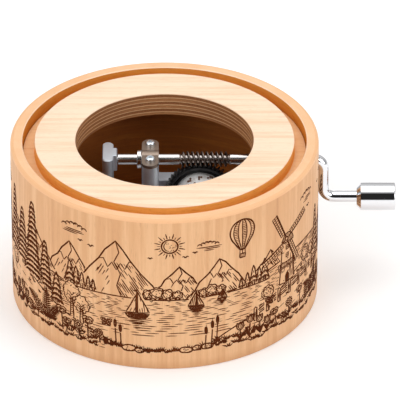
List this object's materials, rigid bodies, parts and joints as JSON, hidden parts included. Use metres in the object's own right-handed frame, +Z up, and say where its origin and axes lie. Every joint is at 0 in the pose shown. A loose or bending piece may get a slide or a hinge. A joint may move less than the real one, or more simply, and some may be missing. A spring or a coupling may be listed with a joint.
{
  "type": "hand-cranked music box",
  "caption": "Round wooden hand-crank music box with a stepped ring window; a bent crank drives a worm, wheel and pinned cylinder beside a steel comb.",
  "frame": {"origin": "middle of the flat underside, on the surface it stands on", "axes": "+Z up through the drum; +X towards the crank; the crank shaft runs along X and the cylinder along Y"},
  "size_m": [0.1004, 0.08, 0.045],
  "materials": {
    "drum_wood": "satin",
    "ring_wood": "satin",
    "base_wood": "satin",
    "zinc_casting": "cast grey zinc",
    "nickel_strap": "polished",
    "bright_screws": "polished",
    "dark_screws": "satin",
    "polished_steel": "polished",
    "comb_steel": "ground",
    "lead_weights": "dull lead",
    "black_plastic": "satin",
    "cylinder_silver": "bright",
    "chromed_crank": "mirror"
  },
  "bodies": {
    "case": {"drum_wall": "drum_wood", "top_ring": "ring_wood", "base_disc": "base_wood", "movement_screws": "dark_screws", "bedplate": "zinc_casting", "shaft_strap": "nickel_strap", "outer_shaft_strap": "nickel_strap", "strap_screws": "bright_screws", "front_bearing": "zinc_casting", "bearing_screws": "bright_screws", "comb": "comb_steel", "comb_weights": "lead_weights", "comb_screws": "dark_screws"},
    "crank": {"worm_shaft": "polished_steel", "shaft_collar": "polished_steel", "crank_socket": "polished_steel", "crank_rod": "chromed_crank", "knob_clip": "polished_steel"},
    "cylinder": {"pinned_cylinder": "cylinder_silver", "cylinder_cap": "black_plastic", "cylinder_arbor": "polished_steel", "drive_wheel": "black_plastic"},
    "knob": {"handle_knob": "chromed_crank"}
  },
  "joints": [
    {"name": "crank_turn", "type": "hinge", "parent": "case", "child": "crank", "pos_m": [0, 0.008, 0.0341], "axis": [1, 0, 0], "continuous": true},
    {"name": "cylinder_spin", "type": "hinge", "parent": "case", "child": "cylinder", "pos_m": [0.00925, 0, 0.02365], "axis": [0, 1, 0], "continuous": true},
    {"name": "knob_spin", "type": "hinge", "parent": "crank", "child": "knob", "pos_m": [0.055, 0.008, 0.0227], "axis": [1, 0, 0], "continuous": true}
  ],
  "couplings": [
    {"joint": "cylinder_spin", "follows": "crank_turn", "ratio": -0.045455}
  ]
}
